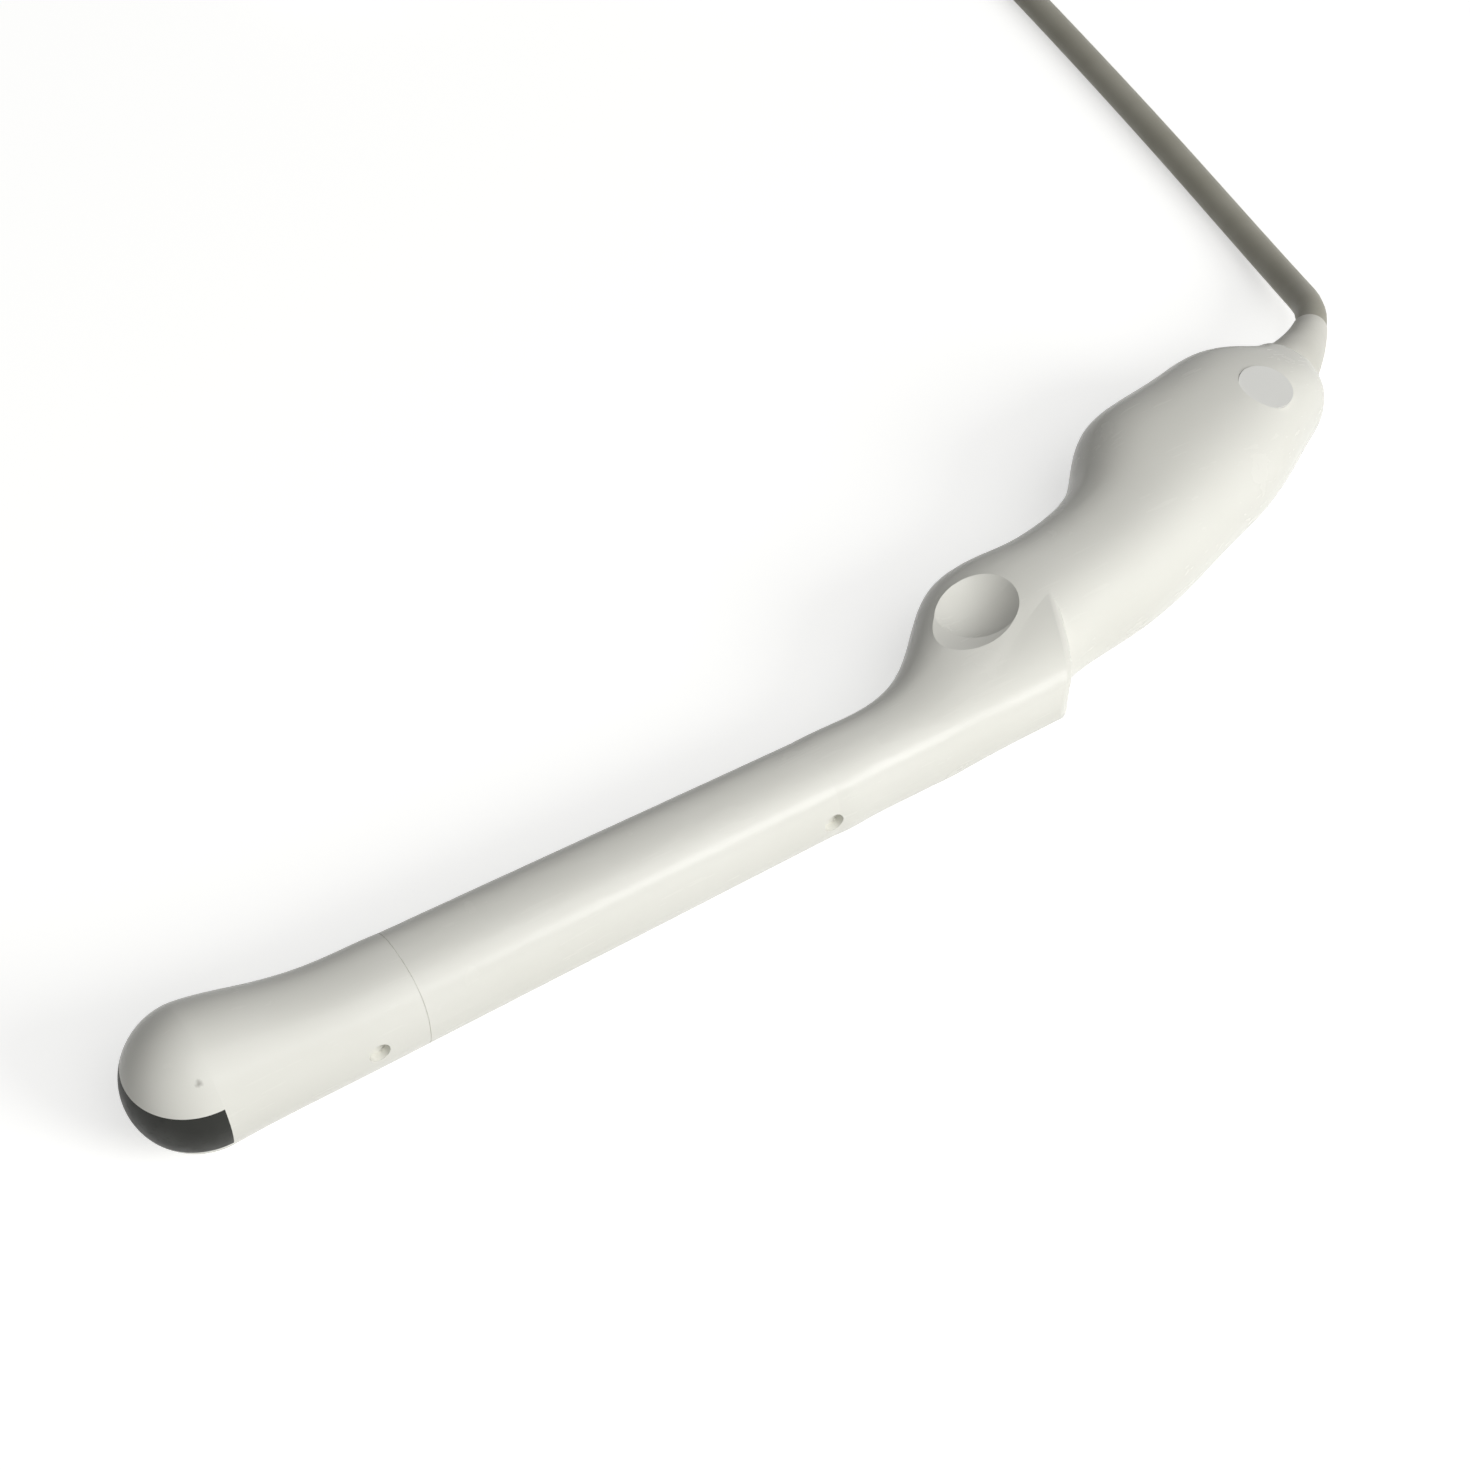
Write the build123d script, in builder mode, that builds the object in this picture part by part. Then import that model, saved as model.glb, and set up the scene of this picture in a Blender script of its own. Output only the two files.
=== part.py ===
from build123d import *

import os
from math import asin, copysign, cos, pi, radians, sin, tan

os.makedirs("parts", exist_ok=True)

# Where the probe lies: lens tip, straight needle-guide side and symmetry plane
tip_x = -155.81
guide_y = -32.49
table_gap = 0.01

# Head and nose housing
head_radius = 13.2
head_drop = 0.3
blend_run = 7.8
blend_width = 24.4
blend_fullness = 2.1
waist_run = 12.0
waist_width = 21.2
waist_fullness = 2.3
throat_run = 9.5
throat_width = 20.3
nose_run = 8.0
cavity_width = 18.0
spigot_length = 8.0
spigot_gap = 0.1
spigot_wall = 1.4
seam_width = 0.12
seam_depth = 0.15

# Acoustic stack behind the lens
lens_width = 9.8
lens_thickness = 1.5
matching_thickness = 0.6
piezo_thickness = 0.8
carrier_length = 11.0
carrier_width = 10.0
carrier_drop = 1.9
carrier_height = 8.0

# Shaft
shaft_front_width = 20.0
shaft_rear_width = 18.0
shaft_length = 85.5
shaft_fullness = 2.4
wall = 2.0
rim_wall = 3.0

# Neck and handle cross-sections: run and lift from the section before, turn, width, height
foot_run = 8.0
foot_width = 18.0
foot_height = 18.0
ankle_run = 9.0
ankle_width = 18.1
ankle_height = 18.0
rise_run = 9.0
rise_width = 20.9
rise_height = 18.8
slope_run = 9.5
slope_lift = 3.95
slope_width = 27.6
slope_height = 20.4
thumb_run = 12.0
thumb_lift = 5.7
thumb_width = 35.4
thumb_height = 22.6
crest_run = 9.5
crest_lift = 2.75
crest_width = 32.9
crest_height = 24.4
dip_run = 9.0
dip_lift = 1.15
dip_turn = 4.0
dip_width = 29.2
dip_height = 25.3
saddle_run = 9.7
saddle_lift = 1.15
saddle_turn = 8.0
saddle_width = 28.7
saddle_height = 26.2
hollow_run = 9.5
hollow_lift = 1.96
hollow_turn = 13.0
hollow_width = 29.7
hollow_height = 27.1
grip_run = 9.1
grip_lift = 3.61
grip_turn = 18.0
grip_width = 32.1
grip_height = 28.0
hump_run = 16.1
hump_lift = 9.1
hump_turn = 21.0
hump_width = 39.6
hump_height = 28.8
shoulder_run = 10.6
shoulder_lift = 2.98
shoulder_turn = 21.0
shoulder_width = 38.7
shoulder_height = 28.8
palm_run = 9.7
palm_lift = 2.75
palm_turn = 21.0
palm_width = 35.8
palm_height = 28.6
heel_run = 15.2
heel_lift = 3.99
heel_turn = 20.0
heel_width = 28.4
heel_height = 24.0
rim_run = 9.8
rim_lift = 3.05
rim_turn = 12.0
rim_width = 16.8
rim_height = 17.0
rim_edge = 2.5
handle_fullness = 2.4
oval_points = 16

# Lip where the straight side ends in front of the grip
lip_lead = 3.0
lip_reach = 7.1
lip_drop = 0.4
lip_sink = 0.15
lip_inset = 0.5
lip_shift = 2.0
lip_edge = 2.0
lip_slope = 64.7
lip_round = 8.0

# Thumb rests, one on each side
thumb_rest_lead = -0.6
thumb_rest_shift = 3.6
thumb_rest_sink = 0.1
thumb_rest_tilt = 11.0
thumb_rest_diameter = 18.4
thumb_rest_depth = 3.2
thumb_rest_flare = 0.9

# Locating holes for a needle guide
locator_diameter = 4.0
locator_depth = 1.8
locator_front_back = 9.7
locator_rear_back = 1.4
locator_boss = 8.0
locator_boss_depth = 2.8

# Round plate on the upper side of the handle
badge_run = 6.9
badge_drop = 4.8
badge_sink = 1.1
badge_lean = 12.0
badge_diameter = 12.0
badge_thickness = 0.8
badge_recess = 0.2
badge_gap = 0.1

# Cable outlet and strain relief
outlet_turn = 24.0
outlet_back = 8.0
outlet_bore_back = 12.0
relief_diameter = 14.4
relief_middle_diameter = 11.2
relief_tip_diameter = 7.9
relief_middle = 8.0
relief_length = 19.0
relief_seat = 1.0
cable_diameter = 7.0

# Flexible circuits, termination board and cable anchor in the handle
flex_thickness = 0.5
flex_width = 8.4
flex_drop = 0.4
flex_start = 1.0
flex_knee_back = 2.0
board_back = 7.3
board_drop = 3.1
board_turn = 17.0
board_length = 42.0
board_width = 18.0
board_thickness = 1.6
socket_inset = 1.0
socket_length = 7.0
socket_width = 13.0
post_diameter = 5.0
board_post_front = -4.2
board_post_rear = 16.8
bundle_diameter = 6.0
bundle_bend = 15.0
clamp_back = 27.0
clamp_length = 9.0
clamp_width = 17.0
clamp_half_height = 5.6
clamp_split = 0.4
clamp_screw_spread = 11.6
screw_diameter = 2.0
screw_head_diameter = 3.8
screw_head_height = 1.4
screw_gap = 0.1
screw_reach = 5.0
screw_tip_gap = 1.0

# Cable route on the table, from the middle of the handle's end
cable_knee = 20.0
cable_down_run = 36.5
cable_down_lift = 39.6
cable_lie_run = 51.4
cable_lie_lift = 107.0
cable_far_run = 66.3
cable_far_lift = 183.6
cable_last_run = 46.5
cable_bend_share = 0.45

# Coil of the remaining cable
coil_middle_diameter = 77.0
coil_turns_across = 4
coil_layers = 2
coil_round = 3.15
coil_entry_angle = -9.0
coil_stub = 30.0
coil_exit_stub = 30.0
tie_width = 8.0
tie_thickness = 1.2
tie_angle = 200.0
tie_room = 0.4

# Plug at the far end
tail_length = 24.0
plug_boot_length = 16.0
plug_boot_diameter = 12.0
plug_boot_tip_diameter = 8.4
plug_length = 46.0
plug_width = 38.0
plug_height = 21.0
plug_round = 5.0
plug_wall = 2.0
plug_groove_count = 6
plug_groove_pitch = 2.6
plug_groove_width = 1.2
plug_groove_length = 22.0
plug_groove_depth = 0.7
plug_groove_back = 14.0
plug_stem_length = 6.0
plug_stem_diameter = 9.0
shroud_length = 14.0
shroud_width = 31.0
shroud_height = 12.5
shroud_wall = 0.8
flange_width = 33.6
flange_height = 16.6
flange_thickness = 1.6
insert_depth = 7.0
contact_count = 10
contact_pitch = 2.5
contact_row_gap = 6.0
contact_thickness = 0.9
contact_length = 6.0
contact_tail = 3.0
plug_board_length = 20.0
plug_board_gap = 0.5

# Places along the probe from the lens tip, and heights above the straight side
mid_z = hump_height / 2 + table_gap
head_rise = head_radius - head_drop
blend_along = head_radius + blend_run
waist_along = blend_along + waist_run
throat_along = waist_along + throat_run
nose_length = throat_along + nose_run
shaft_end = nose_length + shaft_length
foot_along = shaft_end + foot_run
ankle_along = foot_along + ankle_run
rise_along = ankle_along + rise_run
slope_along = rise_along + slope_run
thumb_along = slope_along + thumb_run
crest_along = thumb_along + crest_run
dip_along = crest_along + dip_run
saddle_along = dip_along + saddle_run
hollow_along = saddle_along + hollow_run
grip_along = hollow_along + grip_run
hump_along = grip_along + hump_run
shoulder_along = hump_along + shoulder_run
palm_along = shoulder_along + palm_run
heel_along = palm_along + heel_run
rim_along = heel_along + rim_run
rise_above = rise_width / 2
slope_above = rise_above + slope_lift
thumb_above = slope_above + thumb_lift
crest_above = thumb_above + crest_lift
dip_above = crest_above + dip_lift
saddle_above = dip_above + saddle_lift
hollow_above = saddle_above + hollow_lift
grip_above = hollow_above + grip_lift
hump_above = grip_above + hump_lift
shoulder_above = hump_above + shoulder_lift
palm_above = shoulder_above + palm_lift
heel_above = palm_above + heel_lift
rim_above = heel_above + rim_lift
lip_start = ankle_along + lip_lead
lip_corner = thumb_along + lip_reach
locator_front = nose_length - locator_front_back
locator_rear = shaft_end - locator_rear_back


def station(along, above, turn=0.0):
    """Plane across the probe: its X is in the symmetry plane, its Y is up."""
    return Plane(
        origin=(tip_x + along, guide_y + above, mid_z),
        x_dir=(-sin(radians(turn)), cos(radians(turn)), 0),
        z_dir=(cos(radians(turn)), sin(radians(turn)), 0),
    )


def table_point(along, above, height):
    """Point given from the lens tip and the straight side, with its height above the table."""
    return Vector(tip_x + along, guide_y + above, height)


def oval(half_width, half_height, fullness):
    """Points of a full oval, which is an ellipse at a fullness of 2."""
    points = []
    for step in range(oval_points):
        angle = radians(step * 360 / oval_points)
        across = copysign(abs(cos(angle)) ** (2 / fullness), cos(angle))
        upward = copysign(abs(sin(angle)) ** (2 / fullness), sin(angle))
        points.append((half_width * across, half_height * upward))
    return points


nose_sections = (
    (blend_along, blend_width / 2, blend_width, blend_fullness),
    (waist_along, waist_width / 2, waist_width, waist_fullness),
    (throat_along, throat_width / 2, throat_width, shaft_fullness),
    (nose_length, shaft_front_width / 2, shaft_front_width, shaft_fullness),
)
handle_sections = (
    (shaft_end, shaft_rear_width / 2, 0, shaft_rear_width, shaft_rear_width),
    (foot_along, foot_width / 2, 0, foot_width, foot_height),
    (ankle_along, ankle_width / 2, 0, ankle_width, ankle_height),
    (rise_along, rise_above, 0, rise_width, rise_height),
    (slope_along, slope_above, 0, slope_width, slope_height),
    (thumb_along, thumb_above, 0, thumb_width, thumb_height),
    (crest_along, crest_above, 0, crest_width, crest_height),
    (dip_along, dip_above, dip_turn, dip_width, dip_height),
    (saddle_along, saddle_above, saddle_turn, saddle_width, saddle_height),
    (hollow_along, hollow_above, hollow_turn, hollow_width, hollow_height),
    (grip_along, grip_above, grip_turn, grip_width, grip_height),
    (hump_along, hump_above, hump_turn, hump_width, hump_height),
    (shoulder_along, shoulder_above, shoulder_turn, shoulder_width, shoulder_height),
    (palm_along, palm_above, palm_turn, palm_width, palm_height),
    (heel_along, heel_above, heel_turn, heel_width, heel_height),
    (rim_along, rim_above, rim_turn, rim_width, rim_height),
)

head_centre = Vector(tip_x + head_radius, guide_y + head_rise, mid_z)
outlet = station(rim_along, rim_above, outlet_turn)

# Nose housing: round head, waist and a spigot that enters the shaft
stack_room = 3 * head_radius
spigot_half = shaft_front_width / 2 - wall - 2 * spigot_gap
spigot_bore = spigot_half - spigot_wall
front_locator = Plane((tip_x + locator_front, guide_y, mid_z), (1, 0, 0), (0, 1, 0))

with BuildPart() as nose_housing:
    with BuildSketch(station(head_radius, head_rise)):
        Circle(head_radius)
    for along, above, width, fullness in nose_sections:
        with BuildSketch(station(along, above)):
            with BuildLine():
                Spline(*oval(width / 2, width / 2, fullness), periodic=True)
            make_face()
    loft()
    with BuildSketch(Plane(head_centre)):
        Circle(head_radius)
        with Locations((head_radius, 0)):
            Rectangle(2 * head_radius, 2 * head_radius, mode=Mode.SUBTRACT)
        with Locations((0, -head_radius)):
            Rectangle(2 * head_radius, 2 * head_radius, mode=Mode.SUBTRACT)
    revolve(axis=Axis(head_centre, (1, 0, 0)))
    with BuildSketch(station(nose_length, shaft_front_width / 2)):
        with BuildLine():
            Spline(*oval(spigot_half, spigot_half, shaft_fullness), periodic=True)
        make_face()
    extrude(amount=spigot_length)
    with BuildSketch(station(head_radius, head_rise)):
        Circle(cavity_width / 2)
    for along, above, width, fullness in nose_sections:
        inner_half = min(width / 2 - wall, cavity_width / 2)
        if along == nose_length:
            inner_half = spigot_bore
        with BuildSketch(station(along, above)):
            with BuildLine():
                Spline(*oval(inner_half, inner_half, fullness), periodic=True)
            make_face()
    loft(mode=Mode.SUBTRACT)
    with BuildSketch(station(nose_length, shaft_front_width / 2)):
        with BuildLine():
            Spline(*oval(spigot_bore, spigot_bore, shaft_fullness), periodic=True)
        make_face()
    extrude(amount=spigot_length, mode=Mode.SUBTRACT)
    with BuildSketch(Plane(head_centre)):
        with Locations((-head_radius, 0)):
            Rectangle(2 * head_radius, stack_room)
    extrude(amount=lens_width / 2, both=True, mode=Mode.SUBTRACT)
    with BuildSketch(front_locator.offset(wall / 2)):
        Circle(locator_boss / 2)
    extrude(amount=locator_boss_depth)
    with BuildSketch(front_locator.offset(locator_depth)):
        Circle(locator_diameter / 2)
    extrude(amount=-2 * locator_depth, mode=Mode.SUBTRACT)
    with BuildSketch(station(nose_length - seam_width, shaft_front_width / 2)):
        Rectangle(2 * shaft_front_width, 2 * shaft_front_width)
        seam_half = shaft_front_width / 2 - seam_depth
        with BuildLine():
            Spline(*oval(seam_half, seam_half, shaft_fullness), periodic=True)
        make_face(mode=Mode.SUBTRACT)
    extrude(amount=seam_width, mode=Mode.SUBTRACT)
nose_housing.part.label = "nose_housing"
export_step(nose_housing.part, "parts/nose_housing.step")

# Lens, matching layer, piezo array and backing: nested half rings about the centre of the head
lens_inner = head_radius - lens_thickness
matching_inner = lens_inner - matching_thickness
piezo_inner = matching_inner - piezo_thickness

with BuildPart() as acoustic_lens:
    with Locations(head_centre):
        Sphere(head_radius)
        Cylinder(lens_inner, 2 * head_radius, mode=Mode.SUBTRACT)
    with BuildSketch(Plane(origin=(tip_x, head_centre.Y, mid_z))):
        with Locations((head_radius / 2, 0)):
            Rectangle(head_radius, stack_room)
    extrude(amount=lens_width / 2, both=True, mode=Mode.INTERSECT)
acoustic_lens.part.label = "acoustic_lens"
export_step(acoustic_lens.part, "parts/acoustic_lens.step")

with BuildPart() as matching_layer:
    with BuildSketch(Plane(head_centre)):
        Circle(lens_inner)
        Circle(matching_inner, mode=Mode.SUBTRACT)
        with Locations((head_radius / 2, 0)):
            Rectangle(head_radius, stack_room, mode=Mode.SUBTRACT)
    extrude(amount=lens_width / 2, both=True)
matching_layer.part.label = "matching_layer"
export_step(matching_layer.part, "parts/matching_layer.step")

with BuildPart() as piezo_array:
    with BuildSketch(Plane(head_centre)):
        Circle(matching_inner)
        Circle(piezo_inner, mode=Mode.SUBTRACT)
        with Locations((head_radius / 2, 0)):
            Rectangle(head_radius, stack_room, mode=Mode.SUBTRACT)
    extrude(amount=lens_width / 2, both=True)
piezo_array.part.label = "piezo_array"
export_step(piezo_array.part, "parts/piezo_array.step")

with BuildPart() as backing_block:
    with BuildSketch(Plane(head_centre)):
        Circle(piezo_inner)
        with Locations((head_radius / 2, 0)):
            Rectangle(head_radius, stack_room, mode=Mode.SUBTRACT)
    extrude(amount=lens_width / 2, both=True)
backing_block.part.label = "backing_block"
export_step(backing_block.part, "parts/backing_block.step")

with BuildPart() as array_carrier:
    with BuildSketch(Plane(head_centre, (0, 1, 0), (1, 0, 0))):
        with Locations((-carrier_drop, 0)):
            Rectangle(carrier_width, carrier_height)
    extrude(amount=carrier_length)
array_carrier.part.label = "array_carrier"
export_step(array_carrier.part, "parts/array_carrier.step")

# Outer shape of shaft, neck and handle
with BuildPart() as body_outside:
    for along, width in ((nose_length, shaft_front_width), (shaft_end, shaft_rear_width)):
        with BuildSketch(station(along, width / 2)):
            with BuildLine():
                Spline(*oval(width / 2, width / 2, shaft_fullness), periodic=True)
            make_face()
    loft(ruled=True)
    for along, above, turn, width, height in handle_sections:
        with BuildSketch(station(along, above, turn)):
            with BuildLine():
                Spline(*oval(width / 2, height / 2, handle_fullness), periodic=True)
            make_face()
    loft()
    fillet(body_outside.faces().sort_by(Axis.X)[-1].edges(), rim_edge)

lip_top = thumb_above
lip_half = shaft_rear_width / 2 - lip_sink
lip_far = lip_corner + (lip_top + lip_drop) / tan(radians(lip_slope))
lip_sections = (
    (slope_along, slope_above, slope_height),
    (thumb_along, thumb_above, thumb_height),
    (crest_along, crest_above, crest_height),
    (dip_along, dip_above, dip_height),
)
with BuildPart() as lip:
    with BuildSketch(station(lip_start, shaft_rear_width / 2)):
        with BuildLine():
            Spline(*oval(lip_half, lip_half, shaft_fullness), periodic=True)
        make_face()
    for along, above, height in lip_sections:
        middle = above - lip_shift
        with BuildSketch(station(along, middle)):
            with BuildLine():
                Spline(*oval(middle, height / 2 - lip_inset, shaft_fullness), periodic=True)
            make_face()
    loft()
    with BuildSketch(Plane(origin=(tip_x, guide_y, mid_z))) as lip_plan:
        with BuildLine():
            Polyline(
                (lip_start, -lip_drop),
                (lip_corner, -lip_drop),
                (lip_far, lip_top),
                (lip_start, lip_top),
                close=True,
            )
        make_face()
        fillet(lip_plan.vertices().group_by(Axis.Y)[0].sort_by(Axis.X)[-1], lip_round)
    extrude(amount=thumb_width, both=True, mode=Mode.INTERSECT)
    ledge_edges = lip.edges().filter_by(GeomType.BSPLINE).filter_by_position(
        Axis.X, tip_x + lip_corner - lip_round, tip_x + lip_far
    )
    fillet(ledge_edges, lip_edge)

# Hollow inside shaft, neck and handle
with BuildPart() as body_inside:
    for along, width in ((nose_length, shaft_front_width), (shaft_end, shaft_rear_width)):
        with BuildSketch(station(along, width / 2)):
            with BuildLine():
                Spline(*oval(width / 2 - wall, width / 2 - wall, shaft_fullness), periodic=True)
            make_face()
    loft(ruled=True)
    for along, above, turn, width, height in handle_sections:
        inset = wall if along < rim_along else rim_wall
        with BuildSketch(station(along - (inset if along == rim_along else 0), above, turn)):
            with BuildLine():
                Spline(*oval(width / 2 - inset, height / 2 - inset, handle_fullness), periodic=True)
            make_face()
    loft()

thumb_rest_radius = ((thumb_rest_diameter / 2) ** 2 + thumb_rest_depth**2) / (2 * thumb_rest_depth)
thumb_rest_reach = thumb_rest_radius - thumb_rest_depth
thumb_rest_out = thumb_height / 2 - thumb_rest_sink + thumb_rest_reach * cos(radians(thumb_rest_tilt))
thumb_rest_x = tip_x + thumb_along - thumb_rest_lead - thumb_rest_reach * sin(radians(thumb_rest_tilt))
thumb_rest_y = guide_y + thumb_above + thumb_rest_shift
flare_slope = asin(thumb_rest_diameter / 2 / thumb_rest_radius) / 2
flare_radius = (thumb_rest_diameter / 2 + thumb_rest_flare) / sin(flare_slope)
flare_reach = flare_radius * cos(flare_slope)
flare_out = thumb_height / 2 - thumb_rest_sink + flare_reach * cos(radians(thumb_rest_tilt))
flare_x = tip_x + thumb_along - thumb_rest_lead - flare_reach * sin(radians(thumb_rest_tilt))

with BuildPart() as thumb_backing:
    add(body_outside.part)
    with Locations(
        (thumb_rest_x, thumb_rest_y, mid_z + thumb_rest_out),
        (thumb_rest_x, thumb_rest_y, mid_z - thumb_rest_out),
    ):
        Sphere(thumb_rest_radius + wall, mode=Mode.INTERSECT)

# Posts that stand on the inside of the lower half under the board and the cable anchor
board_plane = Plane(
    origin=table_point(grip_along - board_back, grip_above - board_drop, mid_z),
    x_dir=(cos(radians(board_turn)), sin(radians(board_turn)), 0),
)
clamp_plane = Plane(
    origin=outlet.origin - outlet.z_dir * (clamp_back - clamp_length / 2),
    x_dir=outlet.z_dir,
)
with BuildPart() as posts:
    with BuildSketch(board_plane.offset(-board_thickness / 2)):
        with Locations((board_post_front, 0), (board_post_rear, 0)):
            Circle(post_diameter / 2)
    extrude(amount=-hump_height)
    with BuildSketch(clamp_plane.offset(-clamp_half_height)):
        with Locations((0, -clamp_screw_spread / 2), (0, clamp_screw_spread / 2)):
            Circle(post_diameter / 2)
    extrude(amount=-hump_height)
    add(body_outside.part, mode=Mode.INTERSECT)

# Shell of shaft and handle, before it is parted on the symmetry plane
rear_locator = Plane((tip_x + locator_rear, guide_y, mid_z), (1, 0, 0), (0, 1, 0))
badge_tilt = (
    sin(radians(palm_turn)) * sin(radians(badge_lean)),
    -cos(radians(palm_turn)) * sin(radians(badge_lean)),
    cos(radians(badge_lean)),
)
badge_spot = table_point(
    palm_along + badge_run,
    palm_above - badge_drop,
    mid_z + palm_height / 2 - badge_sink,
)
badge_face = Plane(badge_spot, z_dir=badge_tilt)

with BuildPart() as body_shell:
    add(body_outside.part)
    add(lip.part)
    add(body_inside.part, mode=Mode.SUBTRACT)
    add(thumb_backing.part)
    add(posts.part)
    with BuildSketch(rear_locator.offset(wall / 2)):
        Circle(locator_boss / 2)
    extrude(amount=locator_boss_depth)
    with BuildSketch(rear_locator.offset(locator_depth)):
        Circle(locator_diameter / 2)
    extrude(amount=-2 * locator_depth, mode=Mode.SUBTRACT)
    with Locations(
        (thumb_rest_x, thumb_rest_y, mid_z + thumb_rest_out),
        (thumb_rest_x, thumb_rest_y, mid_z - thumb_rest_out),
    ):
        Sphere(thumb_rest_radius, mode=Mode.SUBTRACT)
    with Locations(
        (flare_x, thumb_rest_y, mid_z + flare_out),
        (flare_x, thumb_rest_y, mid_z - flare_out),
    ):
        Sphere(flare_radius, mode=Mode.SUBTRACT)
    with BuildSketch(outlet.offset(-outlet_bore_back)):
        Circle(relief_diameter / 2)
    extrude(amount=outlet_bore_back + relief_length, mode=Mode.SUBTRACT)
    with BuildSketch(badge_face.offset(-badge_recess - badge_thickness)):
        Circle(badge_diameter / 2 + badge_gap)
    extrude(amount=badge_diameter / 2, mode=Mode.SUBTRACT)
    with BuildSketch(clamp_plane.offset(-clamp_half_height)):
        with Locations((0, -clamp_screw_spread / 2), (0, clamp_screw_spread / 2)):
            Circle(screw_diameter / 2)
    extrude(amount=-screw_reach, mode=Mode.SUBTRACT)

with BuildPart() as upper_shell:
    add(body_shell.part)
    split(bisect_by=Plane((0, 0, mid_z)), keep=Keep.TOP)
upper_shell.part.label = "upper_shell"
export_step(upper_shell.part, "parts/upper_shell.step")

with BuildPart() as lower_shell:
    add(body_shell.part)
    split(bisect_by=Plane((0, 0, mid_z)), keep=Keep.BOTTOM)
lower_shell.part.label = "lower_shell"
export_step(lower_shell.part, "parts/lower_shell.step")

with BuildPart() as badge_plate:
    with BuildSketch(badge_face.offset(-badge_recess - badge_thickness)):
        Circle(badge_diameter / 2)
    extrude(amount=badge_thickness)
badge_plate.part.label = "badge_plate"
export_step(badge_plate.part, "parts/badge_plate.step")

# Two flexible circuits from the array to the sockets of the termination board
socket_height = carrier_height / 2 - board_thickness / 2
socket_start = -board_length / 2 + socket_inset
socket_middle = board_plane.from_local_coords((socket_start + socket_length / 2, 0, 0))
flex_y = guide_y + shaft_front_width / 2 - flex_drop
knee_point = (tip_x + rise_along - flex_knee_back, flex_y)

with BuildPart() as flex_upper:
    with BuildSketch(Plane((0, 0, mid_z + carrier_height / 2))):
        with BuildLine():
            Polyline(
                (head_centre.X + flex_start, flex_y),
                knee_point,
                (socket_middle.X, socket_middle.Y),
            )
        trace(line_width=flex_width)
    extrude(amount=flex_thickness)
flex_upper.part.label = "flex_upper"
export_step(flex_upper.part, "parts/flex_upper.step")

with BuildPart() as flex_lower:
    add(flex_upper.part)
    mirror(about=Plane((0, 0, mid_z)), mode=Mode.REPLACE)
flex_lower.part.label = "flex_lower"
export_step(flex_lower.part, "parts/flex_lower.step")

with BuildPart() as termination_board:
    with BuildSketch(board_plane.offset(-board_thickness / 2)):
        Rectangle(board_length, board_width)
    extrude(amount=board_thickness)
termination_board.part.label = "termination_board"
export_step(termination_board.part, "parts/termination_board.step")

with BuildPart() as socket_upper:
    with BuildSketch(board_plane.offset(board_thickness / 2)):
        with Locations((socket_start + socket_length / 2, 0)):
            Rectangle(socket_length, socket_width)
    extrude(amount=socket_height)
socket_upper.part.label = "socket_upper"
export_step(socket_upper.part, "parts/socket_upper.step")

with BuildPart() as socket_lower:
    add(socket_upper.part)
    mirror(about=Plane((0, 0, mid_z)), mode=Mode.REPLACE)
socket_lower.part.label = "socket_lower"
export_step(socket_lower.part, "parts/socket_lower.step")

# Bundle of fine coaxial wires from the board through the anchor to the cable
board_end = board_plane.from_local_coords((board_length / 2, 0, 0))
bundle_end = outlet.origin - outlet.z_dir * outlet_back
board_gap = outlet.origin - board_plane.origin
knee_reach = board_gap.cross(outlet.z_dir).Z / board_plane.x_dir.cross(outlet.z_dir).Z
bundle_knee = board_plane.origin + board_plane.x_dir * knee_reach

with BuildPart() as coax_bundle:
    with BuildLine() as bundle_line:
        FilletPolyline(board_end, bundle_knee, bundle_end, radius=bundle_bend)
    with BuildSketch(Plane(bundle_line.line @ 0, z_dir=bundle_line.line % 0)):
        Circle(bundle_diameter / 2)
    sweep()
coax_bundle.part.label = "coax_bundle"
export_step(coax_bundle.part, "parts/coax_bundle.step")

with BuildPart() as clamp_upper:
    with BuildSketch(outlet.offset(-clamp_back)):
        with Locations((0, (clamp_half_height + clamp_split / 2) / 2)):
            Rectangle(clamp_width, clamp_half_height - clamp_split / 2)
        Circle(bundle_diameter / 2, mode=Mode.SUBTRACT)
    extrude(amount=clamp_length)
    with BuildSketch(clamp_plane):
        with Locations((0, -clamp_screw_spread / 2), (0, clamp_screw_spread / 2)):
            Circle(screw_diameter / 2 + screw_gap)
    extrude(amount=clamp_half_height, mode=Mode.SUBTRACT)
clamp_upper.part.label = "clamp_upper"
export_step(clamp_upper.part, "parts/clamp_upper.step")

with BuildPart() as clamp_lower:
    add(clamp_upper.part)
    mirror(about=Plane((0, 0, mid_z)), mode=Mode.REPLACE)
clamp_lower.part.label = "clamp_lower"
export_step(clamp_lower.part, "parts/clamp_lower.step")

with BuildPart() as clamp_screw_near:
    with BuildSketch(clamp_plane.offset(clamp_half_height)):
        with Locations((0, -clamp_screw_spread / 2)):
            Circle(screw_head_diameter / 2)
    extrude(amount=screw_head_height)
    with BuildSketch(clamp_plane.offset(clamp_half_height)):
        with Locations((0, -clamp_screw_spread / 2)):
            Circle(screw_diameter / 2)
    extrude(amount=-2 * clamp_half_height - screw_reach + screw_tip_gap)
clamp_screw_near.part.label = "clamp_screw_near"
export_step(clamp_screw_near.part, "parts/clamp_screw_near.step")

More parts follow.
